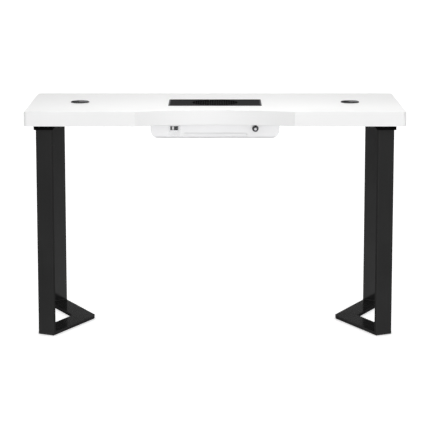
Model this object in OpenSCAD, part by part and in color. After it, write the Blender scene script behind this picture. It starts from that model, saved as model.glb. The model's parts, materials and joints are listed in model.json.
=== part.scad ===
// Manicure table: white top with an arc cut into its front edge, a built-in
// dust collector, two cable grommets and two black steel V-foot legs.
// Frame: origin under the middle of the table on the floor, +X to the user's
// right, +Y to the back, +Z up. The user sits at -Y.

/* [Table top] */
// Length of the top, left to right
table_w = 1200; // [1000:10:1500]
// Depth of the top, front to back
table_d = 500; // [460:5:600]
// Height of the top surface above the floor
table_h = 724; // [650:1:800]
// Thickness of the top
top_t = 46; // [40:1:60]
// Radius of the four vertical corners
corner_r = 10; // [6:1:25]
// Chord of the arc cut into the front edge
arc_chord = 500; // [420:10:600]
// Depth of that arc at its middle
arc_depth = 38; // [20:1:45]
// Thickness of the edge bands
band_t = 2; // [1:0.5:3]

/* [Legs] */
// Distance from the middle to the outer edge of a leg plate
plate_outer_x = 569; // [540:1:590]
// Width of a leg plate
plate_w = 60; // [56:1:70]
// Thickness of a leg plate
plate_t = 12; // [8:1:16]
// Length of a leg plate, front to back
plate_l = 492; // [480:1:496]
// Width of a post
post_w = 57; // [45:1:58]
// Thickness of a post
post_t = 12; // [8:1:16]
// Distance from the middle to the inner corner of a post
post_inner_x = 515; // [490:1:520]
// Distance from the middle to the front corner of a post
post_front_y = 238; // [225:1:242]
// Distance from the middle to the point of the V foot
foot_apex_x = 400; // [370:1:420]
// Half width of the blunt point of the V foot
foot_apex_half = 10; // [4:1:14]
// Width of each arm of the V foot
foot_arm_w = 70; // [60:1:76]
// Thickness of the V foot
foot_t = 10; // [6:1:14]
// Diameter of a glide pad under the foot
pad_d = 28; // [20:1:34]
// Thickness of a glide pad
pad_t = 2; // [1:0.5:4]
// Diameter of the leg screws
leg_screw_d = 6; // [5:0.5:7]

/* [Grommets] */
// Distance from the middle to each cable grommet
grommet_x = 440; // [400:5:460]
// Diameter of the grommet rim
grommet_rim_d = 60; // [58:1:70]
// Diameter of the hole in the top
grommet_hole_d = 55; // [52:1:56]
// Width of the cable slot in the cap
cable_slot_w = 22; // [12:1:26]
// Direction of the cable slot, degrees anticlockwise from the right
cable_slot_angle = 200; // [0:5:355]

/* [Dust intake] */
// Centre of the intake, front to back
intake_y = -16; // [-30:1:20]
// Length of the intake rim
intake_w = 300; // [280:5:320]
// Depth of the intake rim, front to back
intake_d = 160; // [156:1:170]
// Radius of the perforated circle
perforation_r = 75; // [50:1:75]
// Distance between perforations
perforation_pitch = 7.6; // [7:0.1:12]
// Diameter of one perforation
perforation_d = 4.8; // [3:0.1:5.5]
// Thickness of the perforated panel
panel_t = 3; // [2:0.5:4]
// Height of the filter frame
filter_h = 20; // [16:1:22]

/* [Collector housing] */
// Width of the housing
housing_w = 410; // [396:1:440]
// Front face of the housing
housing_front_y = -180; // [-190:1:-170]
// Rear face of the housing
housing_rear_y = 95; // [90:1:130]
// Depth of the housing below the top's underside
housing_h = 48; // [46:1:60]
// Radius of the lower side edges
housing_r = 28; // [10:1:30]
// Radius of the lower front and rear edges
housing_front_r = 8; // [5:1:10]
// Wall thickness
wall = 3; // [2:0.5:4]

/* [Fan] */
// Diameter of the impeller
impeller_d = 136; // [110:1:140]
// Number of impeller blades
blade_n = 20; // [12:1:28]
// Diameter of the motor
motor_d = 60; // [50:1:70]
// Diameter of the motor shaft
shaft_d = 6; // [5:0.5:8]

/* [Controls] */
// Distance from the middle to the rocker switch, to the left
switch_x = 129; // [110:1:145]
// Height of the middle of the switch below the top surface
switch_drop = 63; // [62:1:66]
// Tilt of the rocker each side of level, degrees
rocker_tilt = 10; // [6:1:12]
// Distance from the middle to the speed knob, to the right
knob_x = 128; // [110:1:145]
// Height of the knob's axis below the top surface
knob_drop = 61.5; // [60:0.5:66]
// Diameter of the speed knob
knob_d = 20; // [16:1:24]

/* [Hidden] */
$fn = 64;
eps = 0.5;                               // overshoot of a cut past its face
under_z = table_h - top_t;               // underside of the top
arc_r = (pow(arc_chord / 2, 2) + pow(arc_depth, 2)) / (2 * arc_depth);
arc_cy = -table_d / 2 + arc_depth - arc_r;

// Leg: the arms of the V run from the posts to the blunt point
arm_angle = atan((post_inner_x - foot_apex_x) / (post_front_y - foot_apex_half));
plate_z = under_z - plate_t;
foot_top_z = pad_t + foot_t;
post_h = plate_z - foot_top_z;
foot_outer_x = post_inner_x + post_w * cos(arm_angle);
foot_notch_x = post_inner_x - post_front_y * tan(arm_angle) + foot_arm_w / cos(arm_angle);
foot_trim_y = (foot_outer_x - foot_notch_x) / tan(arm_angle);
leg_screw_y = [-150, 0, 150];
leg_screw_dx = 17;
leg_screw_l = 34;
insert_d = 10;
insert_h = 24;

// Grommets
sleeve_t = 2;
grommet_rim_t = 1.6;
grommet_sleeve_h = 20;
grommet_tube_d = grommet_hole_d - 0.6;
cap_d = 57;
cap_t = 1.6;
cap_skirt_d = grommet_tube_d - 2 * sleeve_t - 0.8;
cap_skirt_h = 8;
cable_slot_in = 2;                       // where the slot starts from the middle

// Intake, from the rim downwards
rim_t = 1.5;
rim_z = table_h + rim_t;
liner_w = intake_w - 5;
liner_d = intake_d - 5;
liner_t = 2;
cutout_gap = 0.6;
bay_w = liner_w - 2 * liner_t;
bay_d = liner_d - 2 * liner_t;
bay_gap = 0.8;
panel_z = rim_z - 0.3 - panel_t;
filter_z = panel_z - filter_h;
ledge_t = 3;
ledge_w = 5;
frame_wall = 4;
pleat_pitch = 10;
pleat_t = 0.8;
media_h = filter_h - 6;

// Housing
housing_z = under_z - housing_h;
floor_z = housing_z + wall;
housing_l = housing_rear_y - housing_front_y;
boss_d = 12;
housing_screw_d = 4.2;
housing_screw_pos = [for (x = [-1, 1], y = [housing_front_y + 14, housing_rear_y - 14])
    [x * (housing_w / 2 - 30), y]];
vent_n = 15;
vent_w = 5;
vent_h = 24;
vent_pitch = 9;
vent_x = 14;                             // left side of the first vent
scoop_r = 14;
scoop_depth = 2;
scoop_half = 96;
scoop_z = housing_z + 12;
scoop_backing_h = 20;

// Inlet plate, fan guard and fan stack
inlet_plate_t = 2;
inlet_plate_z = under_z - inlet_plate_t;
inlet_plate_w = 320;
inlet_plate_d = 190;
inlet_hole_d = 112;
plate_screw_d = 3.5;
plate_screw_pos = [for (x = [-1, 1], y = [-1, 1])
    [x * (inlet_plate_w / 2 - 5), intake_y + y * (inlet_plate_d / 2 - 6)]];
guard_wire_d = 2.4;
guard_arm_d = 2.8;
guard_z = under_z + 5;
guard_rings = [14, 27, 40, 53];
guard_foot_r = 60;
motor_h = 22;
shaft_bottom_z = floor_z + 3;
shaft_top_z = inlet_plate_z - 5;
bearing_d = 16;
bearing_h = 5;
hub_d = 22;
impeller_z = floor_z + motor_h + 2.5;
impeller_plate_t = 2;
blade_h = 11;
blade_t = 1.5;
blade_lean = 40;
eye_d = 104;
shaft_fit = 0.04;                        // radial clearance of a running fit

// Controls on the front wall
switch_z = table_h - switch_drop;
knob_z = table_h - knob_drop;
boot_w = 39;
boot_h = 36;
boot_lower = 3.5;                        // how far the boot's middle is below the switch's
boot_depth = 10;
boot_t = 1.2;
boot_r = 5;
bezel_w = 31;
bezel_h = 25;
bezel_t = 2;
switch_body_w = 28;
switch_body_h = 22;
switch_body_l = 22;
well_w = 26;
well_h = 13;
well_depth = 12;
rocker_w = 24;
rocker_h = 12;
rocker_rise = 2.5;                       // how far the rocker's middle is above the switch's
rocker_pin_d = 3;
rocker_pivot_y = housing_front_y + 1;
pot_d = 17;
pot_l = 9;
bushing_d = 7;
pot_shaft_d = 6;
nut_af = 10;
nut_t = 2;
knob_l = 13;
knob_gap = 2;
knob_cap_d = 9;
pointer_w = 6;
knurl_n = 24;

// Electronics and mains inlet
board_pos = [-185, -112];
board_size = [90, 92, 1.6];
board_z = floor_z + 8;
board_hole_in = 5;
inlet_x = -140;
inlet_z = housing_z + 24;
inlet_flange = [50, 26, 3];
inlet_body = [28, 20.4, 22];
inlet_recess = [24.6, 17, 16];
inlet_screw_dx = 20;
inlet_tail = 4;                          // pins past the inner face of the inlet
inlet_pin_at = [[-7, 2], [7, 2], [0, -3]];
terminal_x = [14, 34];                   // wire terminals along the board's front edge
terminal_size = [14, 9, 10];
terminal_y = 8;

// Inner wires: each one's own points, from where it starts to where it ends
wire_d = 3;
wire_sides = 8;
wire_steps = 4;                          // rings from one point to the next
wire_low_z = floor_z + 4;
board_mid_z = board_z + board_size[2] / 2;
terminal_z = board_z + board_size[2] + terminal_size[2] / 2;
switch_wire = [
    [-switch_x - 6, housing_front_y + switch_body_l, switch_z],
    [-switch_x - 8, -145, switch_z - 4],
    [-switch_x - 13, -124, terminal_z + 2],
    [-switch_x - 15, board_pos[1] + terminal_y, terminal_z]
];
mains_wire = [
    [inlet_x - 7, housing_rear_y - inlet_body[2] - inlet_tail, inlet_z - 2],
    [inlet_x - 7, 50, inlet_z - 6],
    [inlet_x - 5, 20, wire_low_z + 2],
    [inlet_x - 2, -8, wire_low_z + 3],
    [inlet_x - 2, board_pos[1] + board_size[1], board_mid_z]
];
motor_wire = [
    [board_pos[0] + board_size[0], -50, board_mid_z],
    [-75, -46, wire_low_z + 2],
    [-50, -36, wire_low_z],
    [-29, -24, wire_low_z]
];
knob_wire = [
    [knob_x, -170, knob_z - 12],
    [knob_x - 8, -160, knob_z - 18],
    [60, -140, wire_low_z],
    [-20, -132, wire_low_z],
    [-76, -112, wire_low_z + 3],
    [board_pos[0] + board_size[0], -96, board_mid_z]
];

// ---------- shared shapes ----------

// Rectangle with round corners, centred
module rounded_rect(w, d, r) {
    square([w - 2 * r, d], center = true);
    square([w, d - 2 * r], center = true);
    for (x = [-1, 1], y = [-1, 1])
        translate([x * (w / 2 - r), y * (d / 2 - r)]) circle(r = r);
}

// Disc whose rim, grown by extra, forms the arc in the front edge
module arc_disc(extra) {
    translate([0, arc_cy]) circle(r = arc_r + extra, $fn = 720);
}

// Ring lying flat, from z = 0 up
module ring(outer_d, inner_d, h) {
    difference() {
        cylinder(d = outer_d, h = h);
        translate([0, 0, -eps]) cylinder(d = inner_d, h = h + 2 * eps);
    }
}

// Countersunk screw pointing up, its head's flat face at z = 0
module countersunk_screw(d, l) {
    head_h = d / 2;
    cylinder(d1 = 2 * d, d2 = d, h = head_h);
    cylinder(d = d, h = l);
}

// Hole for a countersunk screw that points up, cut from z = 0
module countersunk_hole(d, l, play = 0.4) {
    translate([0, 0, -eps]) cylinder(d = d + play, h = l + 2 * eps);
    cylinder(d1 = 2 * d, d2 = d, h = d / 2);
}

// Point on a smooth curve through p, between p[i] and p[i + 1], t from 0 to 1
function curve_point(p, i, t) =
    let (before = p[max(i - 1, 0)], a = p[i], b = p[i + 1], after = p[min(i + 2, len(p) - 1)])
    (2 * a + (b - before) * t + (2 * before - 5 * a + 4 * b - after) * t * t
        + (3 * a - before - 3 * b + after) * t * t * t) / 2;

function curve(p) = [
    for (i = [0 : len(p) - 2], s = [0 : wire_steps - 1]) curve_point(p, i, s / wire_steps),
    p[len(p) - 1]
];

// Corners of a tube's cross-section at c, square to the direction d; d is never upright
function wire_ring(c, d) =
    let (side = cross(d, [0, 0, 1]) / norm(cross(d, [0, 0, 1])), up = cross(side, d) / norm(d))
    [for (k = [0 : wire_sides - 1])
        let (a = k * 360 / wire_sides) c + wire_d / 2 * (cos(a) * side + sin(a) * up)];

// Tube swept along a smooth curve through the given points
module wire(points) {
    path = curve(points);
    n = len(path);
    n_last = (n - 1) * wire_sides;
    rings = [for (i = [0 : n - 1])
        wire_ring(path[i], path[min(i + 1, n - 1)] - path[max(i - 1, 0)])];
    sides = [for (i = [0 : n - 2], k = [0 : wire_sides - 1])
        let (a = i * wire_sides + k, b = i * wire_sides + (k + 1) % wire_sides)
        [a, b, b + wire_sides, a + wire_sides]];
    polyhedron(
        points = [for (r = rings, q = r) q],
        faces = concat(
            [[for (k = [wire_sides - 1 : -1 : 0]) k]],
            sides,
            [[for (k = [0 : wire_sides - 1]) n_last + k]]
        )
    );
}

// ---------- table top ----------

module tabletop_board() {
    color("white") difference() {
        translate([0, 0, under_z]) linear_extrude(top_t) difference() {
            rounded_rect(table_w - 2 * band_t, table_d - 2 * band_t, corner_r - band_t);
            arc_disc(band_t);
            translate([0, intake_y])
                rounded_rect(liner_w + cutout_gap, liner_d + cutout_gap, 5);
            for (x = [-1, 1])
                translate([x * grommet_x, 0]) circle(d = grommet_hole_d);
        }
        for (p = insert_positions())
            translate([p[0], p[1], under_z - eps]) cylinder(d = insert_d, h = insert_h + eps);
        for (p = housing_screw_pos)
            translate([p[0], p[1], under_z - eps]) cylinder(d = housing_screw_d + 0.4, h = 16);
        for (p = plate_screw_pos)
            translate([p[0], p[1], under_z - eps]) cylinder(d = plate_screw_d + 0.4, h = 16);
    }
}

module outer_edge_band() {
    color("white") translate([0, 0, under_z]) linear_extrude(top_t) difference() {
        rounded_rect(table_w, table_d, corner_r);
        rounded_rect(table_w - 2 * band_t, table_d - 2 * band_t, corner_r - band_t);
        arc_disc(0);
    }
}

module arc_edge_band() {
    color("white") translate([0, 0, under_z]) linear_extrude(top_t) intersection() {
        rounded_rect(table_w - 2 * band_t, table_d - 2 * band_t, corner_r - band_t);
        difference() {
            arc_disc(band_t);
            arc_disc(0);
        }
    }
}

// ---------- cable grommets ----------

module grommet_sleeve(side) {
    color([0.13, 0.13, 0.13]) translate([side * grommet_x, 0, table_h]) {
        ring(grommet_rim_d, grommet_tube_d - 2 * sleeve_t, grommet_rim_t);
        translate([0, 0, -grommet_sleeve_h])
            ring(grommet_tube_d, grommet_tube_d - 2 * sleeve_t, grommet_sleeve_h);
    }
}

module grommet_cap(side) {
    color([0.22, 0.22, 0.22]) translate([side * grommet_x, 0, table_h + grommet_rim_t])
        difference() {
            union() {
                cylinder(d = cap_d, h = cap_t);
                translate([0, 0, -cap_skirt_h])
                    ring(cap_skirt_d, cap_skirt_d - 2 * sleeve_t, cap_skirt_h + cap_t / 2);
            }
            rotate([0, 0, cable_slot_angle])
                translate([cable_slot_in, -cable_slot_w / 2, -cap_skirt_h - eps])
                    cube([cap_d, cable_slot_w, cap_skirt_h + cap_t + 2 * eps]);
        }
}

// ---------- legs, drawn on the left and mirrored to the right ----------

module leg_side(side) {
    mirror([side > 0 ? 1 : 0, 0, 0]) children();
}

// Front and rear copies of a shape drawn at the front
module both_ends() {
    children();
    mirror([0, 1, 0]) children();
}

function plate_mid_x() = plate_outer_x - plate_w / 2;
function insert_positions() = [for (side = [-1, 1], y = leg_screw_y, dx = [-1, 1])
    [side * plate_mid_x() + dx * leg_screw_dx, y]];

module leg_plate(side) {
    color([0.08, 0.08, 0.08]) difference() {
        translate([side * plate_mid_x() - plate_w / 2, -plate_l / 2, plate_z])
            cube([plate_w, plate_l, plate_t]);
        for (p = insert_positions())
            translate([p[0], p[1], plate_z]) countersunk_hole(leg_screw_d, plate_t);
    }
}

// Flat bar with its outer face flush with the end of the arm under it
module front_post() {
    translate([-post_inner_x, -post_front_y, foot_top_z]) rotate([0, 0, -arm_angle])
        translate([-post_w, 0, 0]) cube([post_w, post_t, post_h]);
}

module leg_post(side, at_rear) {
    color([0.1, 0.1, 0.1]) leg_side(side) mirror([0, at_rear ? 1 : 0, 0]) front_post();
}

module foot(side) {
    inner_corner = [-foot_outer_x, -post_front_y + post_w * sin(arm_angle)];
    front_half = [
        inner_corner,
        [-post_inner_x, -post_front_y],
        [-foot_apex_x, -foot_apex_half]
    ];
    rear_half = [for (i = [2 : -1 : 0]) [front_half[i][0], -front_half[i][1]]];
    notch = [
        [-foot_outer_x, foot_trim_y],
        [-foot_notch_x, 0],
        [-foot_outer_x, -foot_trim_y]
    ];
    color([0.12, 0.12, 0.12]) leg_side(side)
        translate([0, 0, pad_t]) linear_extrude(foot_t) polygon(concat(front_half, rear_half, notch));
}

module foot_pads(side) {
    end_in = post_w / 2;
    end_x = post_inner_x + (end_in - foot_arm_w / 4) * cos(arm_angle);
    color([0.2, 0.2, 0.2]) leg_side(side) {
        translate([-foot_apex_x - foot_arm_w / 2, 0, 0]) cylinder(d = pad_d, h = pad_t);
        both_ends() translate([-end_x, -post_front_y + end_in, 0]) cylinder(d = pad_d, h = pad_t);
    }
}

module leg_screws() {
    color([0.35, 0.35, 0.36]) for (p = insert_positions())
        translate([p[0], p[1], plate_z]) countersunk_screw(leg_screw_d, leg_screw_l);
}

module leg_inserts() {
    color("silver") for (p = insert_positions())
        translate([p[0], p[1], under_z]) ring(insert_d, leg_screw_d + 0.4, insert_h);
}

// ---------- dust intake ----------

module intake_liner() {
    color([0.16, 0.16, 0.17]) translate([0, intake_y, 0]) {
        translate([0, 0, table_h]) linear_extrude(rim_t) difference() {
            rounded_rect(intake_w, intake_d, 4);
            rounded_rect(bay_w, bay_d, 3);
        }
        translate([0, 0, under_z]) linear_extrude(top_t) difference() {
            rounded_rect(liner_w, liner_d, 5);
            rounded_rect(bay_w, bay_d, 3);
        }
        translate([0, 0, filter_z - ledge_t]) linear_extrude(ledge_t) difference() {
            rounded_rect(bay_w, bay_d, 3);
            rounded_rect(bay_w - 2 * ledge_w, bay_d - 2 * ledge_w, 2);
        }
    }
}

// Holes on a square grid, kept inside the perforated circle
module perforations() {
    steps = floor(perforation_r / perforation_pitch);
    for (i = [-steps : steps], j = [-steps : steps])
        if (norm([i, j]) * perforation_pitch + perforation_d / 2 <= perforation_r)
            translate([i, j] * perforation_pitch) circle(d = perforation_d, $fn = 24);
}

module intake_panel() {
    color([0.22, 0.22, 0.23]) translate([0, intake_y, panel_z]) linear_extrude(panel_t)
        difference() {
            rounded_rect(bay_w - bay_gap, bay_d - bay_gap, 2.6);
            perforations();
        }
}

module filter_frame() {
    outer_w = bay_w - 2 * bay_gap;
    outer_d = bay_d - 2 * bay_gap;
    color([0.15, 0.15, 0.15]) translate([0, intake_y, filter_z]) linear_extrude(filter_h) difference() {
        rounded_rect(outer_w, outer_d, 2.2);
        rounded_rect(outer_w - 2 * frame_wall, outer_d - 2 * frame_wall, 1);
    }
}

// Pleated paper: a zigzag strip run front to back
module filter_media() {
    media_w = bay_w - 2 * bay_gap - 2 * frame_wall;
    media_d = bay_d - 2 * bay_gap - 2 * frame_wall;
    pleats = floor(media_w / pleat_pitch);
    edge = [for (i = [0 : 2 * pleats])
        [(i - pleats) * pleat_pitch / 2, i % 2 == 0 ? 0 : media_h - 3 * pleat_t]];
    upper = [for (i = [2 * pleats : -1 : 0]) edge[i] + [0, 3 * pleat_t]];
    color("ivory") translate([0, intake_y + media_d / 2, filter_z + 3])
        rotate([90, 0, 0]) linear_extrude(media_d) polygon(concat(edge, upper));
}

// ---------- collector housing ----------

// Rectangle standing on y = 0 with its two lower corners round
module lower_rounded(w, h, r) {
    translate([-w / 2, r]) square([w, h - r]);
    translate([-w / 2 + r, 0]) square([w - 2 * r, r + eps]);
    for (x = [-1, 1]) translate([x * (w / 2 - r), r]) circle(r = r);
}

// Block with all four lower edges round, smaller than the housing by inset on every side
module housing_block(inset, h) {
    w = housing_w - 2 * inset;
    l = housing_l - 2 * inset;
    translate([0, (housing_front_y + housing_rear_y) / 2, housing_z + inset]) intersection() {
        rotate([90, 0, 0]) linear_extrude(l, center = true) lower_rounded(w, h, housing_r - inset);
        rotate([90, 0, 90]) linear_extrude(w, center = true)
            lower_rounded(l, h, housing_front_r - inset);
    }
}

// Long shallow finger hollow low on the front face
module front_scoop() {
    translate([0, housing_front_y - scoop_r + scoop_depth, scoop_z]) {
        rotate([0, 90, 0]) cylinder(r = scoop_r, h = 2 * scoop_half, center = true);
        for (x = [-1, 1]) translate([x * scoop_half, 0, 0]) sphere(r = scoop_r);
    }
}

module housing_shell() {
    difference() {
        housing_block(0, housing_h);
        housing_block(wall, housing_h);
    }
    translate([-scoop_half - scoop_r, housing_front_y + wall - eps, floor_z - eps])
        cube([2 * (scoop_half + scoop_r), scoop_depth + eps, scoop_backing_h]);
}

module front_cutouts() {
    translate([-switch_x, housing_front_y, switch_z])
        cube([switch_body_w + 0.4, 4 * wall, switch_body_h + 0.4], center = true);
    translate([knob_x, housing_front_y - wall, knob_z]) rotate([-90, 0, 0])
        cylinder(d = bushing_d + 0.4, h = 3 * wall);
}

module rear_cutouts() {
    for (i = [0 : vent_n - 1])
        translate([vent_x + i * vent_pitch, housing_rear_y - 2 * wall, housing_z + (housing_h - vent_h) / 2])
            cube([vent_w, 3 * wall, vent_h]);
    translate([inlet_x, housing_rear_y, inlet_z])
        cube([inlet_body[0] + 0.4, 4 * wall, inlet_body[1] + 0.4], center = true);
    for (x = [-1, 1])
        translate([inlet_x + x * inlet_screw_dx, housing_rear_y - 2 * wall, inlet_z])
            rotate([-90, 0, 0]) cylinder(d = 3.2, h = 3 * wall);
}

function board_hole_positions() = [for (x = [board_hole_in, board_size[0] - board_hole_in],
    y = [board_hole_in, board_size[1] - board_hole_in]) board_pos + [x, y]];
function motor_screw_positions() = [for (a = [0 : 120 : 240])
    [0, intake_y] + 22 * [cos(a), sin(a)]];

module collector_housing() {
    color([0.93, 0.93, 0.94]) difference() {
        union() {
            difference() {
                housing_shell();
                front_scoop();
            }
            for (p = housing_screw_pos)
                translate([p[0], p[1], floor_z - eps]) cylinder(d = boss_d, h = under_z - floor_z + eps);
            for (p = board_hole_positions())
                translate([p[0], p[1], floor_z - eps]) cylinder(d = 7, h = board_z - floor_z + eps);
        }
        front_cutouts();
        rear_cutouts();
        for (p = housing_screw_pos)
            translate([p[0], p[1], housing_z]) countersunk_hole(housing_screw_d, housing_h);
        for (p = board_hole_positions())
            translate([p[0], p[1], floor_z]) cylinder(d = 2.6, h = housing_h);
        for (p = motor_screw_positions())
            translate([p[0], p[1], housing_z]) countersunk_hole(3, wall);
    }
}

module housing_screws() {
    color([0.6, 0.6, 0.62]) for (p = housing_screw_pos)
        translate([p[0], p[1], housing_z]) countersunk_screw(housing_screw_d, housing_h + 14);
}

module inlet_plate() {
    color([0.25, 0.25, 0.26]) difference() {
        translate([0, intake_y, inlet_plate_z]) linear_extrude(inlet_plate_t) difference() {
            rounded_rect(inlet_plate_w, inlet_plate_d, 8);
            circle(d = inlet_hole_d);
        }
        for (p = plate_screw_pos)
            translate([p[0], p[1], inlet_plate_z - eps])
                cylinder(d = plate_screw_d + 0.4, h = inlet_plate_t + 2 * eps);
        for (a = [45 : 90 : 315])
            translate([0, intake_y, inlet_plate_z - eps]) rotate([0, 0, a])
                translate([guard_foot_r, 0, 0])
                    cylinder(d = guard_arm_d + 0.4, h = inlet_plate_t + 2 * eps);
    }
}

module inlet_plate_screws() {
    head_h = 2;
    color([0.6, 0.6, 0.62]) for (p = plate_screw_pos)
        translate([p[0], p[1], inlet_plate_z - head_h]) {
            cylinder(d = 2 * plate_screw_d, h = head_h);
            cylinder(d = plate_screw_d, h = head_h + inlet_plate_t + 14);
        }
}

// Wire rings welded onto four thicker arms whose ends turn down into the inlet plate
module fan_guard() {
    arm_z = -0.75 * guard_arm_d;
    leg_h = guard_z + arm_z - inlet_plate_z;
    color([0.5, 0.5, 0.52]) translate([0, intake_y, guard_z]) {
        for (r = guard_rings)
            rotate_extrude() translate([r, 0]) circle(d = guard_wire_d, $fn = 24);
        for (a = [45 : 90 : 315]) rotate([0, 0, a]) translate([0, 0, arm_z]) {
            translate([guard_rings[0] - 2, 0, 0]) rotate([0, 90, 0])
                cylinder(d = guard_arm_d, h = guard_foot_r - guard_rings[0] + 2, $fn = 24);
            translate([guard_foot_r, 0, 0]) sphere(d = guard_arm_d + 0.4, $fn = 24);
            translate([guard_foot_r, 0, -leg_h]) cylinder(d = guard_arm_d, h = leg_h, $fn = 24);
        }
    }
}

// ---------- fan ----------

module motor_body() {
    color([0.3, 0.3, 0.32]) translate([0, intake_y, floor_z]) difference() {
        union() {
            cylinder(d = motor_d, h = motor_h - 3);
            cylinder(d = motor_d - 16, h = motor_h);
        }
        translate([0, 0, 2]) cylinder(d = shaft_d + 4, h = motor_h);
        translate([0, 0, 3]) cylinder(d = bearing_d, h = bearing_h);
        translate([0, 0, motor_h - bearing_h]) cylinder(d = bearing_d, h = bearing_h + eps);
        for (a = [0 : 120 : 240]) rotate([0, 0, a]) translate([22, 0, -eps]) cylinder(d = 3.2, h = 9);
    }
}

module motor_bearings() {
    color("silver") for (z = [3, motor_h - bearing_h])
        translate([0, intake_y, floor_z + z]) ring(bearing_d, shaft_d + 2 * shaft_fit, bearing_h);
}

module motor_shaft() {
    color("silver") translate([0, intake_y, shaft_bottom_z])
        cylinder(d = shaft_d, h = shaft_top_z - shaft_bottom_z);
}

module motor_screws() {
    color([0.6, 0.6, 0.62]) for (p = motor_screw_positions())
        translate([p[0], p[1], housing_z]) countersunk_screw(3, wall + 8);
}

// Back plate, hub, backward-leaning flat blades and the ring on top of them
module impeller() {
    plate_top = impeller_plate_t;
    blade_mid_r = (impeller_d + eye_d) / 4;
    blade_l = (impeller_d - eye_d) / 2;
    color([0.85, 0.85, 0.83]) translate([0, intake_y, impeller_z]) difference() {
        union() {
            cylinder(d = impeller_d, h = plate_top);
            cylinder(d = hub_d, h = plate_top + blade_h - 2);
            for (i = [0 : blade_n - 1]) rotate([0, 0, i * 360 / blade_n])
                translate([blade_mid_r, 0, plate_top / 2]) rotate([0, 0, blade_lean])
                    translate([-blade_l / 2, -blade_t / 2, 0])
                        cube([blade_l, blade_t, blade_h + plate_top / 2]);
            translate([0, 0, plate_top + blade_h - 1]) ring(impeller_d, eye_d, 2);
        }
        translate([0, 0, -eps]) cylinder(d = shaft_d, h = housing_h);
    }
}

// ---------- rocker switch and its boot ----------

module at_switch() {
    translate([-switch_x, housing_front_y, switch_z]) children();
}

module switch_body() {
    color([0.93, 0.93, 0.94]) at_switch() difference() {
        union() {
            translate([-bezel_w / 2, -bezel_t, -bezel_h / 2]) cube([bezel_w, bezel_t, bezel_h]);
            translate([-switch_body_w / 2, -eps, -switch_body_h / 2])
                cube([switch_body_w, switch_body_l + eps, switch_body_h]);
        }
        translate([-well_w / 2, -bezel_t - eps, rocker_rise - well_h / 2])
            cube([well_w, well_depth + eps, well_h]);
        translate([0, rocker_pivot_y - housing_front_y, rocker_rise])
            cylinder(d = rocker_pin_d + 2 * shaft_fit, h = rocker_h + 3.2, center = true);
    }
}

// Paddle tilted to its off side, on a pin that runs top to bottom
module switch_rocker() {
    half = rocker_w / 2;
    color([0.06, 0.06, 0.06]) translate([-switch_x, rocker_pivot_y, switch_z + rocker_rise])
        rotate([0, 0, -rocker_tilt]) {
            linear_extrude(rocker_h, center = true)
                polygon([[-half, -4], [0, -2.8], [half, -4], [half, -2], [4, 4], [-4, 4], [-half, -2]]);
            cylinder(d = rocker_pin_d, h = rocker_h + 3, center = true);
        }
}

module switch_boot() {
    color([0.8, 0.85, 0.9, 0.5]) at_switch() translate([0, 0, -boot_lower]) rotate([90, 0, 0])
        difference() {
            linear_extrude(boot_depth) rounded_rect(boot_w, boot_h, boot_r);
            translate([0, 0, -eps]) linear_extrude(boot_depth - boot_t + eps)
                rounded_rect(boot_w - 2 * boot_t, boot_h - 2 * boot_t, boot_r - boot_t);
        }
}

// ---------- speed control and knob ----------

// Children are drawn along +Z, which points out of the front face
module at_knob() {
    translate([knob_x, housing_front_y, knob_z]) rotate([90, 0, 0]) children();
}

module speed_control() {
    color([0.35, 0.36, 0.33]) at_knob() difference() {
        union() {
            translate([0, 0, -wall - pot_l]) cylinder(d = pot_d, h = pot_l);
            translate([0, 0, -wall - eps]) cylinder(d = bushing_d, h = wall + nut_t + eps);
            for (x = [-5, 0, 5])
                translate([x - 0.6, -pot_d / 2 - 6, -wall - pot_l + 2]) cube([1.2, 8, 0.8]);
        }
        translate([0, 0, -wall - pot_l + 2]) cylinder(d = pot_shaft_d + 2 * shaft_fit, h = 2 * pot_l);
    }
}

module control_nut() {
    color("silver") at_knob() difference() {
        cylinder(d = nut_af / cos(30), h = nut_t, $fn = 6);
        translate([0, 0, -eps]) cylinder(d = bushing_d, h = nut_t + 2 * eps);
    }
}

module control_shaft() {
    color("silver") at_knob() translate([0, 0, -wall - pot_l + 2])
        cylinder(d = pot_shaft_d, h = pot_l - 2 + wall + nut_t + knob_gap + knob_l - 4);
}

module speed_knob() {
    color([0.25, 0.25, 0.26]) at_knob() translate([0, 0, nut_t + knob_gap]) difference() {
        union() {
            cylinder(d = knob_d, h = 3);
            cylinder(d = knob_d - 3, h = knob_l);
            for (i = [0 : knurl_n - 1]) rotate([0, 0, i * 360 / knurl_n])
                translate([knob_d / 2 - 1.9, 0, 1]) cylinder(d = 1.6, h = knob_l - 2);
        }
        translate([0, 0, -eps]) cylinder(d = pot_shaft_d, h = knob_l - 4 + eps);
        translate([0, 0, knob_l - 1.5]) cylinder(d = knob_cap_d, h = 2);
        translate([-pointer_w / 2, knob_d / 2 - 4, 3]) cube([pointer_w, 6, knob_l]);
    }
}

module knob_cap() {
    color([0.85, 0.85, 0.86]) at_knob() translate([0, 0, nut_t + knob_gap + knob_l - 1.5])
        cylinder(d = knob_cap_d, h = 2);
}

module knob_pointer() {
    color([0.03, 0.03, 0.03]) at_knob() translate([-pointer_w / 2, knob_d / 2 - 4, nut_t + knob_gap + 3])
        cube([pointer_w, 6, knob_l - 3]);
}

// ---------- electronics ----------

module control_board() {
    color([0.1, 0.35, 0.15]) difference() {
        translate([board_pos[0], board_pos[1], board_z]) cube(board_size);
        for (p = board_hole_positions())
            translate([p[0], p[1], board_z - eps]) cylinder(d = 3.4, h = 3);
    }
}

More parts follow.
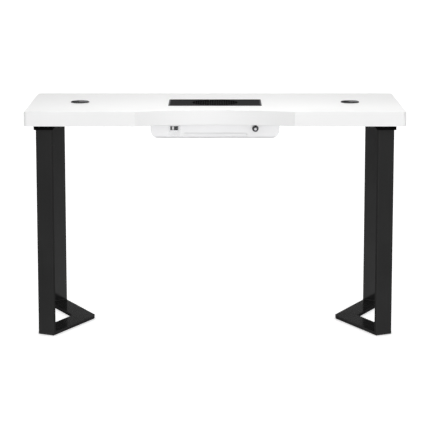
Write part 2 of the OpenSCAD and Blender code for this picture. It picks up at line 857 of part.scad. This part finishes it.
module board_parts() {
    top = board_z + board_size[2];
    translate([board_pos[0], board_pos[1], top]) {
        color([0.75, 0.62, 0.2]) translate([12, 48, 0]) cube([30, 26, 22]);
        color([0.1, 0.12, 0.3]) for (y = [14, 30]) translate([66, y, 0]) cylinder(d = 12, h = 20);
        color([0.7, 0.7, 0.72]) translate([54, 54, 0]) cube([22, 4, 20]);
        color([0.1, 0.5, 0.2]) for (x = terminal_x) translate([x, terminal_y, 0]) cube(terminal_size);
        color([0.08, 0.08, 0.08]) translate([20, 26, 0]) cube([20, 8, 4]);
    }
}

module board_screws() {
    color([0.6, 0.6, 0.62]) for (p = board_hole_positions())
        translate([p[0], p[1], board_z + board_size[2]]) {
            cylinder(d = 5, h = 2);
            translate([0, 0, -7]) cylinder(d = 2.6, h = 7);
        }
}

// Socket frame in the rear wall, drawn with +Z pointing out of the back
module at_inlet() {
    translate([inlet_x, housing_rear_y, inlet_z]) rotate([-90, 0, 0]) children();
}

module power_inlet() {
    color([0.08, 0.08, 0.08]) at_inlet() difference() {
        union() {
            linear_extrude(inlet_flange[2]) rounded_rect(inlet_flange[0], inlet_flange[1], 5);
            translate([0, 0, (inlet_flange[2] - inlet_body[2]) / 2])
                cube([inlet_body[0], inlet_body[1], inlet_body[2] + inlet_flange[2] - 1], center = true);
        }
        translate([0, 0, inlet_flange[2] - inlet_recess[2] / 2 + eps])
            cube([inlet_recess[0], inlet_recess[1], inlet_recess[2]], center = true);
        for (x = [-1, 1])
            translate([x * inlet_screw_dx, 0, -eps]) cylinder(d = 3.4, h = 6);
        for (p = inlet_pin_at)
            translate([p[0] - 1, p[1] - 2, -inlet_body[2]]) cube([2, 4, inlet_body[2]]);
    }
}

module inlet_pins() {
    color("silver") at_inlet() for (p = inlet_pin_at)
        translate([p[0] - 1, p[1] - 2, -inlet_body[2] - inlet_tail])
            cube([2, 4, inlet_body[2] + inlet_tail]);
}

module inlet_screws() {
    color([0.6, 0.6, 0.62]) at_inlet() for (x = [-1, 1])
        translate([x * inlet_screw_dx, 0, -4]) {
            cylinder(d = 3, h = 8);
            translate([0, 0, 4 + inlet_flange[2]]) cylinder(d = 5.6, h = 1.6);
        }
}

module inner_wires() {
    color([0.75, 0.1, 0.1]) wire(switch_wire);
    color([0.1, 0.1, 0.1]) wire(mains_wire);
    color([0.1, 0.2, 0.6]) wire(motor_wire);
    color([0.8, 0.6, 0.1]) wire(knob_wire);
}

// ---------- output ----------

tabletop_board();
outer_edge_band();
arc_edge_band();
grommet_sleeve(-1);  // left_grommet_sleeve
grommet_sleeve(1);  // right_grommet_sleeve
grommet_cap(-1);  // left_grommet_cap
grommet_cap(1);  // right_grommet_cap
leg_plate(-1);  // left_leg_plate
leg_post(-1, false);  // left_front_post
leg_post(-1, true);  // left_rear_post
foot(-1);  // left_foot
foot_pads(-1);  // left_foot_pads
leg_plate(1);  // right_leg_plate
leg_post(1, false);  // right_front_post
leg_post(1, true);  // right_rear_post
foot(1);  // right_foot
foot_pads(1);  // right_foot_pads
leg_screws();
leg_inserts();
intake_liner();
intake_panel();
filter_frame();
filter_media();
collector_housing();
housing_screws();
inlet_plate();
inlet_plate_screws();
fan_guard();
motor_body();
motor_bearings();
motor_shaft();
motor_screws();
impeller();
switch_body();
switch_rocker();
switch_boot();
speed_control();
control_nut();
control_shaft();
speed_knob();
knob_cap();
knob_pointer();
control_board();
board_parts();
board_screws();
power_inlet();
inlet_pins();
inlet_screws();
inner_wires();
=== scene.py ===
"""Looks of the manicure table: materials, softened edges, a few refined pieces, floor, lights, camera."""

import json
import math
import bmesh
import bpy
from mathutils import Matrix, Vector


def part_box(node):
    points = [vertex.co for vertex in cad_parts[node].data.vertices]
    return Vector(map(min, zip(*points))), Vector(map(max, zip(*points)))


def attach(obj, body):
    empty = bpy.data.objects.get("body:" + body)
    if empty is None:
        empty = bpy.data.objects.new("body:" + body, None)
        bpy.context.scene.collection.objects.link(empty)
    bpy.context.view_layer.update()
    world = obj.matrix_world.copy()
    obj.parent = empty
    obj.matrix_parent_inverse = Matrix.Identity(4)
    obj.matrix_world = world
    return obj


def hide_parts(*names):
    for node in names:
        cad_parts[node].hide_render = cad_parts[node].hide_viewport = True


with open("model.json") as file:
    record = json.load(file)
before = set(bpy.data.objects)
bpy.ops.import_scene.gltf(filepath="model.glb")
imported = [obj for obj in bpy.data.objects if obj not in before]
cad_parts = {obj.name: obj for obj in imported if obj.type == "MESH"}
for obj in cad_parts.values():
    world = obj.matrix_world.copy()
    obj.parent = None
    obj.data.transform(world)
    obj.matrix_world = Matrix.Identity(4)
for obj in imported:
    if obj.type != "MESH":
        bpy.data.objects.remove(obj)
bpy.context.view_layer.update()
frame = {"nodes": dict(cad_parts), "record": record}

MM = 0.001


# ---------- material helpers ----------

class Look:
    """A node material with one Principled shader, built up by the calls below."""

    def __init__(self, name, color, roughness, **constants):
        self.material = bpy.data.materials.new(name)
        self.material.use_nodes = True
        self.tree = self.material.node_tree
        self.shader = self.tree.nodes["Principled BSDF"]
        self.shader.inputs["Base Color"].default_value = (*color, 1.0)
        self.shader.inputs["Roughness"].default_value = roughness
        for socket, value in constants.items():
            self.shader.inputs[socket.replace("_", " ")].default_value = value
        self.place = self.node("ShaderNodeTexCoord").outputs["Object"]
        self.bump_out = None

    def node(self, kind, **settings):
        made = self.tree.nodes.new(kind)
        for key, value in settings.items():
            setattr(made, key, value)
        return made

    def link(self, output, socket):
        self.tree.links.new(output, socket)

    def noise(self, scale, detail=3.0, stretch=(1.0, 1.0, 1.0)):
        """Noise fixed to the piece; scale counts features per metre."""
        mapping = self.node("ShaderNodeMapping")
        mapping.inputs["Scale"].default_value = stretch
        self.link(self.place, mapping.inputs["Vector"])
        made = self.node("ShaderNodeTexNoise")
        made.inputs["Scale"].default_value = scale
        made.inputs["Detail"].default_value = detail
        self.link(mapping.outputs["Vector"], made.inputs["Vector"])
        return made.outputs["Fac"]

    def spread(self, value, low, high, source=(0.3, 0.7)):
        """Maps a noise value from its usual source range to low..high."""
        made = self.node("ShaderNodeMapRange", clamp=True)
        made.inputs["From Min"].default_value = source[0]
        made.inputs["From Max"].default_value = source[1]
        made.inputs["To Min"].default_value = low
        made.inputs["To Max"].default_value = high
        self.link(value, made.inputs["Value"])
        return made.outputs["Result"]

    def tint(self, value, color_a, color_b, source=(0.3, 0.7)):
        """Base colour that drifts between two colours."""
        mix = self.node("ShaderNodeMix", data_type="RGBA")
        self.link(self.spread(value, 0.0, 1.0, source), mix.inputs["Factor"])
        for socket, color in zip([s for s in mix.inputs if s.type == "RGBA"], (color_a, color_b)):
            socket.default_value = (*color, 1.0)
        out = [s for s in mix.outputs if s.type == "RGBA"][0]
        self.link(out, self.shader.inputs["Base Color"])

    def gloss(self, value, low, high):
        """Roughness that drifts between two values."""
        self.link(self.spread(value, low, high), self.shader.inputs["Roughness"])

    def bump(self, value, depth, strength=1.0):
        """Adds relief of the given depth in metres; several calls pile up."""
        made = self.node("ShaderNodeBump")
        made.inputs["Strength"].default_value = strength
        made.inputs["Distance"].default_value = depth
        self.link(value, made.inputs["Height"])
        if self.bump_out:
            self.link(self.bump_out, made.inputs["Normal"])
        self.bump_out = made.outputs["Normal"]
        self.link(self.bump_out, self.shader.inputs["Normal"])


def shade(color, factor):
    """The colour made darker or lighter, up to white."""
    return tuple(min(1.0, c * factor) for c in color)


# ---------- materials, one function per kind ----------

# How much a dark finish reflects where it is seen at a slant
LACQUER_EDGE = (0.32, 0.32, 0.32, 1.0)
POWDER_EDGE = (0.1, 0.1, 0.1, 1.0)
# The perforated circle: its radius, and the painted shade, as shares of the panel's colour, at shares of
# that radius
FIELD_RADIUS = 76 * MM
FIELD_PAINTED_SHADE = [(0.55, 0.4), (0.96, 0.12)]


def laminate(name, color, roughness):
    """White melamine laminate: faint cloudiness, uneven gloss and a barely visible waviness."""
    look = Look(name, color, roughness, Specular_IOR_Level=0.45)
    look.tint(look.noise(3.0, detail=2.0), shade(color, 0.985), shade(color, 1.01))
    look.gloss(look.noise(60.0), roughness - 0.015, roughness + 0.015)
    look.bump(look.noise(45.0, detail=1.0), 0.00008, 0.1)
    return look


def moulded_plastic(name, color, roughness):
    """Injection moulded plastic with spark-eroded grain and slightly uneven, low gloss."""
    look = Look(name, color, roughness, Specular_IOR_Level=0.15)
    look.tint(look.noise(14.0, detail=2.0), shade(color, 0.94), shade(color, 1.05))
    look.gloss(look.noise(120.0), roughness - 0.05, roughness + 0.06)
    look.bump(look.noise(2200.0, detail=2.0), 0.00003, 0.5)
    return look


def gloss_plastic(name, color, roughness, coat=0.35, specular=0.5):
    """Polished moulding: clear top gloss over a very slight waviness."""
    look = Look(name, color, roughness, Coat_Weight=coat, Coat_Roughness=0.12, Specular_IOR_Level=specular)
    look.tint(look.noise(9.0, detail=2.0), shade(color, 0.97), shade(color, 1.02))
    look.gloss(look.noise(80.0), roughness - 0.04, roughness + 0.05)
    look.bump(look.noise(35.0, detail=1.0), 0.0001, 0.1)
    return look


def dark_gloss_plastic(name, color, roughness):
    """Black moulding with a quieter gloss."""
    return gloss_plastic(name, color, roughness, coat=0.0, specular=0.15)


def black_lacquer(name, color, roughness):
    """Black lacquer on steel bar: even dark gloss, orange peel and faint smudges."""
    look = Look(name, color, roughness, Metallic=0.65, Specular_Tint=LACQUER_EDGE, Specular_IOR_Level=0.0)
    look.tint(look.noise(6.0), shade(color, 0.78), shade(color, 0.94))
    look.gloss(look.noise(7.0, detail=5.0), roughness - 0.04, roughness + 0.05)
    look.bump(look.noise(160.0, detail=2.0), 0.00004, 0.15)
    return look


def flat_black_with_painted_shade(name, color):
    """Matt black with no gloss, its colour darkened to 0.3 to 0.7 of its slot's: painted shade that keeps
    the leg plate darker than the posts.
    """
    look = Look(name, color, 0.8, Specular_IOR_Level=0.0)
    # Painted shade: the colour held to 0.3 to 0.7 of the slot's colour
    look.tint(look.noise(30.0), shade(color, 0.3), shade(color, 0.7))
    look.bump(look.noise(700.0), 0.00003, 0.4)
    return look


def dark_powder_coat(name, color, roughness):
    """Dark satin coat on sheet metal, with a fine leathery texture."""
    look = Look(name, color, roughness, Metallic=0.4, Specular_Tint=POWDER_EDGE, Specular_IOR_Level=0.0)
    look.tint(look.noise(25.0), shade(color, 0.9), shade(color, 1.1))
    look.gloss(look.noise(200.0), roughness - 0.06, roughness + 0.08)
    look.bump(look.noise(1300.0, detail=3.0), 0.00004, 0.4)
    return look


def perforated_panel_with_painted_shade(name, color, roughness):
    """Dark powder coat with painted shade on the round field where the air is drawn through: darker there,
    darkest near the field's rim.
    """
    look = dark_powder_coat(name, color, roughness)
    low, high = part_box("intake_panel")
    centre = look.node("ShaderNodeVectorMath", operation="SUBTRACT")
    centre.inputs[1].default_value = [(a + b) / 2 for a, b in zip(low, high)]
    look.link(look.place, centre.inputs[0])
    reach = look.node("ShaderNodeVectorMath", operation="LENGTH")
    look.link(centre.outputs["Vector"], reach.inputs[0])
    # Painted shade: the field falls to 0.4 of the panel's colour, and to 0.12 near its rim; outside it the
    # colour stays as it is
    field = look.node("ShaderNodeValToRGB")
    look.link(look.spread(reach.outputs["Value"], 0.0, 1.0, (0.0, FIELD_RADIUS)), field.inputs["Fac"])
    for stop, (position, factor) in zip(field.color_ramp.elements, FIELD_PAINTED_SHADE):
        stop.position = position
        stop.color = (*shade(color, factor), 1.0)
    rim = field.color_ramp.elements.new(1.0)
    rim.color = (*color, 1.0)
    look.link(field.outputs["Color"], look.shader.inputs["Base Color"])
    return look


def powder_coat(name, color, roughness):
    """Satin powder coat with its fine leathery texture."""
    look = Look(name, color, roughness, Specular_IOR_Level=0.4)
    look.tint(look.noise(25.0), shade(color, 0.88), shade(color, 1.12))
    look.gloss(look.noise(200.0), roughness - 0.06, roughness + 0.08)
    look.bump(look.noise(1300.0, detail=3.0), 0.00006, 0.5)
    return look


def bare_metal(name, color, roughness, stretch=(1.0, 1.0, 12.0)):
    """Plated or brushed metal with fine scratches that run across the stretched axis."""
    look = Look(name, color, roughness, Metallic=1.0)
    look.tint(look.noise(90.0), shade(color, 0.88), shade(color, 1.08))
    scratches = look.noise(900.0, detail=4.0, stretch=stretch)
    look.gloss(scratches, roughness - 0.08, roughness + 0.12)
    look.bump(scratches, 0.00001, 0.4)
    return look


def spun_aluminium(name, color, roughness):
    """Dull aluminium with scratches the same way round."""
    return bare_metal(name, shade(color, 0.75), roughness, stretch=(1.0, 1.0, 1.0))


def rubber(name, color):
    """Matt rubber or PVC with a dusty, uneven bloom."""
    look = Look(name, color, 0.75, Specular_IOR_Level=0.35)
    look.tint(look.noise(60.0), shade(color, 0.8), shade(color, 1.3))
    look.gloss(look.noise(300.0), 0.66, 0.85)
    look.bump(look.noise(900.0), 0.00004, 0.5)
    return look


def filter_paper(name, color):
    """Fibrous pleated paper, darker where dust has settled."""
    look = Look(name, color, 0.9, Specular_IOR_Level=0.2, Sheen_Weight=0.2)
    fibres = look.noise(500.0, detail=6.0, stretch=(1.0, 0.25, 1.0))
    look.tint(fibres, shade(color, 0.8), shade(color, 1.08))
    look.bump(look.noise(1400.0, detail=6.0, stretch=(1.0, 0.3, 1.0)), 0.0001, 0.6)
    return look


def silicone(name, color):
    """Clear soft silicone, slightly milky and uneven."""
    look = Look(name, color, 0.16, Alpha=0.04, IOR=1.41, Specular_IOR_Level=0.2)
    look.gloss(look.noise(70.0, detail=3.0), 0.10, 0.24)
    look.bump(look.noise(120.0, detail=2.0), 0.0002, 0.3)
    return look


def circuit_board(name, color):
    """Solder mask with lighter copper tracks showing through on a grid."""
    look = Look(name, color, 0.35, Specular_IOR_Level=0.5)
    bricks = look.node("ShaderNodeTexBrick")
    bricks.inputs["Scale"].default_value = 180.0
    bricks.inputs["Mortar Size"].default_value = 0.06
    look.link(look.place, bricks.inputs["Vector"])
    look.tint(bricks.outputs["Fac"], color, shade(color, 1.9), source=(0.0, 1.0))
    look.gloss(look.noise(150.0), 0.28, 0.45)
    look.bump(bricks.outputs["Fac"], 0.00004, 0.6)
    return look


def color_of(slot):
    """The record's base colour of a material slot."""
    for entry in frame["record"]["materials"]:
        if entry["slot"] == slot:
            return tuple(entry["base_color"][:3])
    raise KeyError(slot)


# For each slot, the function that makes its material and the roughness where that function asks for one
MATERIALS = {
    "top_laminate": (laminate, 0.42),
    "edge_band": (laminate, 0.30),
    "black_plastic": (moulded_plastic, 0.5),
    "charcoal_plastic": (moulded_plastic, 0.55),
    # the intake panel's material carries painted shade on its perforated field
    "charcoal_metal": (perforated_panel_with_painted_shade, 0.5),
    "black_steel": (black_lacquer, 0.14),
    # the leg plates' colour carries painted shade
    "plate_steel": (flat_black_with_painted_shade,),
    "pad_rubber": (rubber,),
    "screw_steel": (bare_metal, 0.35),
    "insert_brass": (bare_metal, 0.3),
    "filter_paper": (filter_paper,),
    "white_plastic": (gloss_plastic, 0.32),
    "grey_metal": (powder_coat, 0.5),
    "guard_wire": (bare_metal, 0.28),
    "motor_metal": (powder_coat, 0.45),
    "bearing_steel": (bare_metal, 0.2),
    "impeller_plastic": (gloss_plastic, 0.35),
    "black_gloss_plastic": (dark_gloss_plastic, 0.2),
    "clear_silicone": (silicone,),
    "pot_metal": (bare_metal, 0.4),
    "knob_plastic": (moulded_plastic, 0.42),
    "knob_aluminium": (spun_aluminium, 0.45),
    "board_resin": (circuit_board,),
    "board_part_plastic": (moulded_plastic, 0.45),
    "pin_brass": (bare_metal, 0.25),
    "wire_sheath": (rubber,),
}


def dress_nodes():
    """Gives every CAD node the material of its slot, and returns the materials by slot."""
    made = {slot: build(slot, color_of(slot), *finish).material
            for slot, (build, *finish) in MATERIALS.items()}
    for part in frame["record"]["subparts"]:
        obj = frame["nodes"][part["node"]]
        obj.data.materials.clear()
        obj.data.materials.append(made[part["material_slot"]])
    return made


# ---------- softened edges on the CAD nodes ----------

# In millimetres. A leg's parts have the same radius on both sides
EDGE_RADIUS = {
    "tabletop_board": 0.3,
    "outer_edge_band": 0.8,
    "arc_edge_band": 0.8,
    "collector_housing": 1.2,
    "intake_panel": 0.4,
    "intake_liner": 0.5,
    "foot": 0.9,
    "leg_plate": 0.8,
    "front_post": 0.9,
    "rear_post": 0.9,
    "power_inlet": 0.6,
    "knob_pointer": 1.0,
}
SMALL_EDGE = 0.25        # every other node


def soften(obj, radius_mm):
    """Rounds a node's sharp edges without touching its mesh."""
    weld = obj.modifiers.new("weld", "WELD")
    weld.merge_threshold = 0.00001
    bevel = obj.modifiers.new("bevel", "BEVEL")
    bevel.width = radius_mm * MM
    bevel.segments = 3
    bevel.limit_method = "ANGLE"
    bevel.angle_limit = math.radians(32)
    bevel.harden_normals = True
    normals = obj.modifiers.new("normals", "WEIGHTED_NORMAL")
    normals.keep_sharp = True


def soften_nodes():
    """Softens every CAD node by the radius given for it."""
    for name, obj in frame["nodes"].items():
        part = name.removeprefix("left_").removeprefix("right_")
        soften(obj, EDGE_RADIUS.get(part, SMALL_EDGE))


# ---------- refined pieces ----------

def soft_outline(half_w, half_h, squareness=6.0, count=96):
    """Points round a superellipse: a circle at squareness 2, nearly a rectangle at 10."""
    def reach(part):
        return math.copysign(abs(part) ** (2.0 / squareness), part)

    turns = [2.0 * math.pi * i / count for i in range(count)]
    return [(half_w * reach(math.cos(a)), half_h * reach(math.sin(a))) for a in turns]


def round_outline(radius, count=64):
    """Points round a circle."""
    return soft_outline(radius, radius, 2.0, count)


def loft(rings, close_first=False):
    """Points and faces of a skin over rings of equally many points; the last ring is always closed."""
    count = len(rings[0])
    points = [point for ring in rings for point in ring]
    faces = []
    for start in range(0, len(points) - count, count):
        for i in range(count):
            after = (i + 1) % count
            faces.append((start + i, start + after, start + count + after, start + count + i))
    faces.append(tuple(range(len(points) - count, len(points))))
    if close_first:
        faces.append(tuple(range(count - 1, -1, -1)))
    return points, faces


def join(skins):
    """One list of points and faces from several."""
    points, faces = [], []
    for more_points, more_faces in skins:
        start = len(points)
        points += more_points
        faces += [tuple(start + i for i in face) for face in more_faces]
    return points, faces


def add_piece(name, skin, slot, body, replaced=()):
    """Links a smooth mesh as a piece of the object that rides on a body."""
    mesh = bpy.data.meshes.new(name)
    mesh.from_pydata(skin[0], [], skin[1])
    for face in mesh.polygons:
        face.use_smooth = True
    mesh.materials.append(materials[slot])
    obj = bpy.data.objects.new(name, mesh)
    bpy.context.scene.collection.objects.link(obj)
    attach(obj, body)
    if replaced:
        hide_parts(*replaced)
    return obj


def pressed_out(outline, profile, place, hollow=False):
    """Skin raised from an outline: each step of the profile scales the outline and lifts it."""
    rings = [[place(scale * x, scale * z, rise) for x, z in outline] for scale, rise in profile]
    return loft(rings, close_first=not hollow)


BOOT_GAP = 0.1 * MM      # to the housing's face
BOOT_LIP = 1.2 * MM
BOOT_WALL = 0.8 * MM
BOOT_SIDE = 0.93         # size of the dome's foot as a share of the lip
# Sizes of the dome's rings, as shares of its foot
DOME_RINGS = (1.0, 0.995, 0.98, 0.95, 0.9, 0.84, 0.76, 0.66, 0.54, 0.4, 0.25, 0.1)


def switch_boot():
    """Clear domed boot with a lip round its foot, hollow inside."""
    low, high = (Vector(corner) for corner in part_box("switch_boot"))
    mid = (low + high) / 2
    rise = high.y - low.y - BOOT_LIP
    dome = [(BOOT_SIDE * size, BOOT_LIP + rise * math.sqrt(1.0 - size ** 7)) for size in DOME_RINGS]
    outline = soft_outline((high.x - low.x) / 2, (high.z - low.z) / 2)
    skin = pressed_out(outline, [(1.0, BOOT_GAP), (1.0, BOOT_LIP * 0.8), (0.985, BOOT_LIP)] + dome,
                       lambda x, z, out: (mid.x + x, high.y - out, mid.z + z), hollow=True)
    obj = add_piece("clear_switch_boot", skin, "clear_silicone", "table", ["switch_boot"])
    wall = obj.modifiers.new("wall", "SOLIDIFY")
    wall.thickness = BOOT_WALL
    wall.offset = -1.0


# A white bar on the rocker that is a painted highlight: its size, and where it stands
HIGHLIGHT_BAR_SIZE = (5.0 * MM, 10.6 * MM)
HIGHLIGHT_BAR_X = -3.4 * MM      # from the rocker's pin, along its face
HIGHLIGHT_BAR_LEVEL = 3.0 * MM   # from the pin outwards, 0.2 mm above the middle of the face
ROCKER_SLOPE = 0.1       # the face rises by this share of the way from the pin to its left end


def rocker_highlight_bar():
    """White bar on the left half of the rocker's face, standing a little proud of it: a painted highlight,
    in place of the light caught by the clear boot between the rocker's dark halves.
    """
    hinge = next(j for j in frame["record"]["behaviour"]["joints"] if j["name"] == "rocker_tilt")
    pin = Vector(hinge["pos_m"])
    tilt = -math.radians(hinge["range_deg"][1]) / 2

    def place(x, z, out):
        across = HIGHLIGHT_BAR_X + x
        away = -HIGHLIGHT_BAR_LEVEL - out + ROCKER_SLOPE * across
        return (pin.x + across * math.cos(tilt) - away * math.sin(tilt),
                pin.y + across * math.sin(tilt) + away * math.cos(tilt), pin.z + z)

    outline = soft_outline(HIGHLIGHT_BAR_SIZE[0] / 2, HIGHLIGHT_BAR_SIZE[1] / 2, 4.0, 48)
    profile = [(1.0, -0.3 * MM), (1.0, 0.25 * MM), (0.94, 0.4 * MM), (0.8, 0.46 * MM), (0.4, 0.5 * MM)]
    add_piece("rocker_highlight_bar", pressed_out(outline, profile, place), "white_plastic", "rocker")


def knob_cap():
    """Spun disc in the knob's end: a raised rim, a dished face and a small well in the middle."""
    low, high = (Vector(corner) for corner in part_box("knob_cap"))
    mid = (low + high) / 2
    profile = [(1.0, 0.0), (1.0, 1.75 * MM), (0.96, 1.95 * MM), (0.9, 2.0 * MM), (0.84, 1.95 * MM),
               (0.78, 1.65 * MM), (0.6, 1.5 * MM), (0.34, 1.45 * MM), (0.3, 1.4 * MM), (0.28, 0.7 * MM),
               (0.2, 0.5 * MM)]
    skin = pressed_out(round_outline((high.x - low.x) / 2), profile,
                       lambda x, z, out: (mid.x + x, high.y - out, mid.z + z))
    add_piece("spun_knob_cap", skin, "knob_aluminium", "knob", ["knob_cap"])


WELD_RADIUS = 2.0 * MM
WELD_STEP = 0.8 * MM     # between the rings of a bead
WELD_RIPPLE = 3.2 * MM   # length of one ripple


def inner_edge(node, level_of):
    """Ends of a post's lower (min) or upper (max) edge towards the leg's middle, and the way it faces."""
    points = {tuple(round(c, 5) for c in v.co) for v in frame["nodes"][node].data.vertices}
    level = level_of(z for x, y, z in points)
    corners = [Vector(p) for p in points if abs(p[2] - level) < 0.1 * MM]
    centre = sum(corners, Vector()) / len(corners)
    corners.sort(key=lambda p: math.atan2(p.y - centre.y, p.x - centre.x))
    edges = [(a, b, (a + b) / 2 - centre) for a, b in zip(corners, corners[1:] + corners[:1])]
    longest = sorted(edges, key=lambda edge: -(edge[1] - edge[0]).length)[:2]
    start, end, out = min(longest, key=lambda edge: abs((edge[0] + edge[1]).y))
    return start, end, out.normalized()


def weld_bead(start, end, out):
    """Rippled bead along an edge, with tapered ends."""
    length = (end - start).length
    count = int(length / WELD_STEP)
    rings = []
    for i in range(count + 1):
        along = length * i / count
        taper = min(1.0, 0.25 + min(along, length - along) / (2 * WELD_RADIUS))
        radius = WELD_RADIUS * taper * (1.0 + 0.08 * math.sin(2.0 * math.pi * along / WELD_RIPPLE))
        middle = start.lerp(end, i / count)
        rings.append([tuple(middle + x * out + Vector((0.0, 0.0, z)))
                      for x, z in round_outline(radius, 12)])
    return loft(rings, close_first=True)


def leg_welds():
    """Beads where the posts meet the foot and the plate."""
    for side in ("left", "right"):
        beads = [weld_bead(*inner_edge(side + post, level_of))
                 for post in ("_front_post", "_rear_post") for level_of in (min, max)]
        add_piece(side + "_leg_welds", join(beads), "black_steel", "table")


# ---------- surroundings ----------

FLOOR_RADIUS = 60.0
FLOOR_COLOR = (0.95, 0.95, 0.95)
FLOOR_GLOW = 0.5
# Height on the unit sphere, and the surround's brightness there
SKY_STOPS = [(-1.0, 0.54), (-0.4, 0.27), (-0.05, 0.27), (0.05, 0.54), (0.8, 0.655)]
# Soft panels of the surround: direction from the table, tightness, extra brightness
GLOWS = [
    ((0.08, -1.0, -0.04), 22.0, 4.9),
    ((-0.745, -0.642, -0.30), 180.0, 1.2),
    ((0.745, -0.642, -0.30), 180.0, 1.2),
    ((-1.0, 0.1, 0.1), 5.0, 0.4),
    ((1.0, 0.1, 0.1), 5.0, 0.4),
    ((0.0, 1.0, -0.35), 10.0, 1.3),
    ((0.0, 1.0, 0.14), 60.0, 1.35),
]
# In metres, degrees down from level, millimetres, and share of the picture's width
CAMERA_PLACE = (0.0, -5.954, 1.456)
CAMERA_DOWN = 9.185
CAMERA_LENS = 153.85
CAMERA_SHIFT = -0.1


def floor():
    """Wide pale disc with a faintly uneven finish and a little light of its own."""
    mesh = bpy.data.meshes.new("floor")
    bm = bmesh.new()
    bmesh.ops.create_circle(bm, cap_ends=True, radius=FLOOR_RADIUS, segments=96)
    bm.to_mesh(mesh)
    bm.free()
    obj = bpy.data.objects.new("floor", mesh)
    obj.visible_diffuse = False
    obj.visible_glossy = False
    obj.visible_shadow = False
    bpy.context.scene.collection.objects.link(obj)
    look = Look("floor", FLOOR_COLOR, 0.7, Specular_IOR_Level=0.2,
                Emission_Color=(1.0, 1.0, 1.0, 1.0), Emission_Strength=FLOOR_GLOW)
    look.tint(look.noise(0.8), shade(FLOOR_COLOR, 0.99), shade(FLOOR_COLOR, 1.005))
    mesh.materials.append(look.material)


def math_node(tree, operation, value, operand):
    """Joins a socket to a number or to another socket."""
    step = tree.nodes.new("ShaderNodeMath")
    step.operation = operation
    tree.links.new(value, step.inputs[0])
    if isinstance(operand, float):
        step.inputs[1].default_value = operand
    else:
        tree.links.new(operand, step.inputs[1])
    return step.outputs["Value"]


def glow(tree, place, aim, tightness, gain):
    """A soft bright panel of the surround: gain in its middle, fading smoothly to 0."""
    angle = tree.nodes.new("ShaderNodeVectorMath")
    angle.operation = "DOT_PRODUCT"
    angle.inputs[1].default_value = Vector(aim).normalized()
    tree.links.new(place, angle.inputs[0])
    facing = math_node(tree, "MAXIMUM", angle.outputs["Value"], 0.0)
    return math_node(tree, "MULTIPLY", math_node(tree, "POWER", facing, tightness), gain)


def sky():
    """Pale studio surround: bright overhead, dimmer round the horizon, with a few bright panels."""
    world = bpy.data.worlds.new("studio")
    bpy.context.scene.world = world
    world.use_nodes = True
    tree = world.node_tree
    place = tree.nodes.new("ShaderNodeTexCoord")
    split = tree.nodes.new("ShaderNodeSeparateXYZ")
    height = tree.nodes.new("ShaderNodeMapRange")
    height.inputs["From Min"].default_value = -1.0
    ramp = tree.nodes.new("ShaderNodeValToRGB").color_ramp
    while len(ramp.elements) < len(SKY_STOPS):
        ramp.elements.new(1.0)
    for stop, (z, brightness) in zip(ramp.elements, SKY_STOPS):
        stop.position = (z + 1.0) / 2.0
        stop.color = (brightness, brightness, brightness, 1.0)
    tree.links.new(place.outputs["Generated"], split.inputs["Vector"])
    tree.links.new(split.outputs["Z"], height.inputs["Value"])
    tree.links.new(height.outputs["Result"], tree.nodes["Color Ramp"].inputs["Fac"])
    level = tree.nodes["Color Ramp"].outputs["Color"]
    for panel in GLOWS:
        level = math_node(tree, "ADD", level, glow(tree, place.outputs["Generated"], *panel))
    tree.nodes["Background"].inputs["Color"].default_value = (1.0, 1.0, 1.0, 1.0)
    tree.links.new(level, tree.nodes["Background"].inputs["Strength"])


def softbox(name, place, target, size, power):
    """Area light turned to its target, unseen by the camera."""
    data = bpy.data.lights.new(name, "AREA")
    data.shape = "RECTANGLE"
    data.size = size[0]
    data.size_y = size[1]
    data.energy = power
    obj = bpy.data.objects.new(name, data)
    obj.visible_camera = False
    obj.location = place
    obj.rotation_euler = (Vector(target) - Vector(place)).to_track_quat("-Z", "Y").to_euler()
    bpy.context.scene.collection.objects.link(obj)


def lights():
    """One softbox over the front edge, a little to the right."""
    softbox("top_front", (0.1, -0.32, 1.2), (0.1, -0.32, 0.72), (1.5, 0.3), 2.1)


def camera():
    """The photo's view: in front of the table, tilted a little down."""
    data = bpy.data.cameras.new("camera")
    data.lens = CAMERA_LENS
    data.sensor_width = 36.0
    data.shift_y = CAMERA_SHIFT
    obj = bpy.data.objects.new("camera", data)
    obj.location = CAMERA_PLACE
    obj.rotation_euler = (math.radians(90.0 - CAMERA_DOWN), 0.0, 0.0)
    bpy.context.scene.collection.objects.link(obj)
    bpy.context.scene.camera = obj


# ---------- build ----------

materials = dress_nodes()
soften_nodes()
switch_boot()
# a painted highlight on the rocker, made as a white bar
rocker_highlight_bar()
knob_cap()
leg_welds()
floor()
sky()
lights()
camera()
bpy.context.scene.view_settings.view_transform = "Standard"
